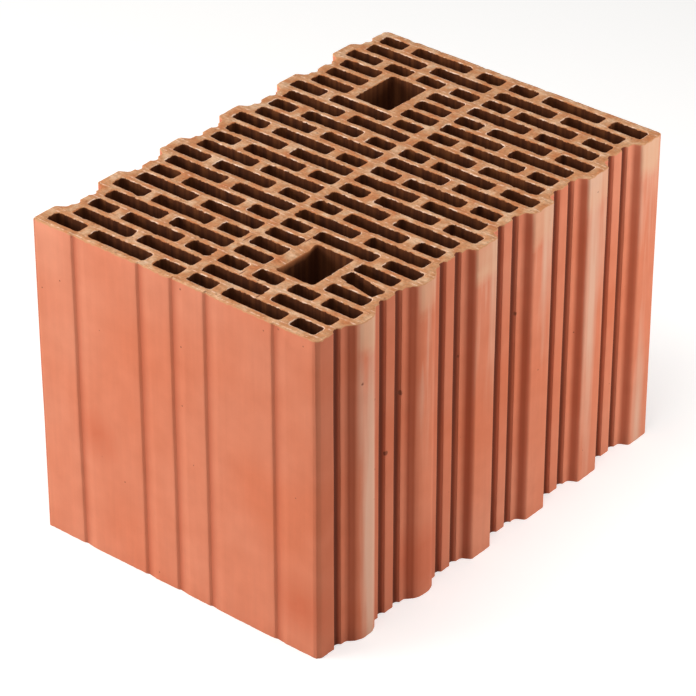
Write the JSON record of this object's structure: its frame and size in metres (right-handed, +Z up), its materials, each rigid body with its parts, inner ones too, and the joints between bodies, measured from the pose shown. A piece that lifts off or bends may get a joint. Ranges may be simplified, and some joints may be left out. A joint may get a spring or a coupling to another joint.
{
  "type": "perforated clay block",
  "caption": "Fired clay wall block with rows of upright slots, two grip holes, tongue-and-groove ends and a plaster face with key grooves, laid in thin-bed mortar",
  "frame": {"origin": "centre of the lower bed face, on the floor, midway between the two ends' tongue tips", "axes": "+Z up out of the upper bed face, X along the wall between the tongued ends, Y through the wall with the grooved plaster face on -Y"},
  "size_m": [0.255, 0.365, 0.249],
  "materials": {
    "fired_clay": "matte"
  },
  "bodies": {
    "root": {"clay_block": "fired_clay"}
  },
  "joints": []
}
